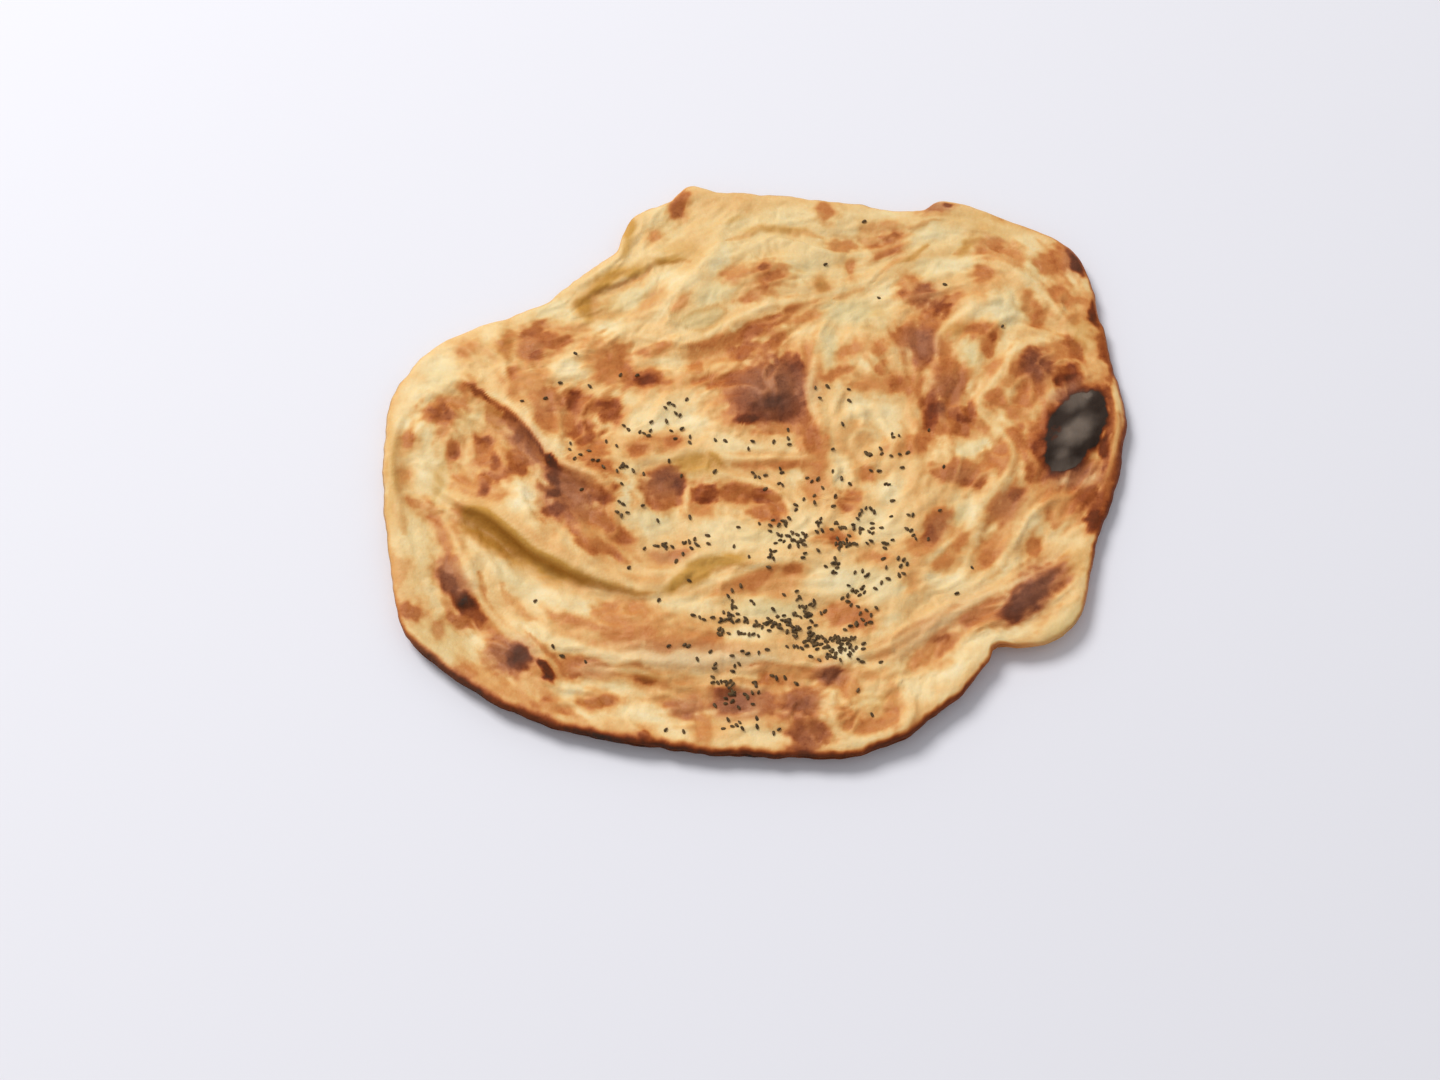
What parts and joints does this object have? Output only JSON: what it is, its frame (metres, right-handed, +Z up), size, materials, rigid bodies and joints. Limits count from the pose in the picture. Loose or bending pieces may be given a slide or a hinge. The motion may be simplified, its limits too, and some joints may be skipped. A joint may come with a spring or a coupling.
{
  "type": "malawach",
  "caption": "Round, thin, folded flaky flatbread with an uneven browned rim, lying flat, with a flat underside to rest on.",
  "frame": {"origin": "bottom centre of the bread's bounding box, on the surface it lies on", "axes": "+X along the bread's longest way across, +Z up through its thickness, +Y towards its far side"},
  "size_m": [0.358, 0.312, 0.0197],
  "materials": {
    "crust": "pan-fried flaky dough, pale cream to golden brown with dark scorch marks, faintly buttery sheen",
    "seeds": "dull black nigella seeds"
  },
  "bodies": {
    "root": {"bread": "crust"}
  },
  "joints": []
}
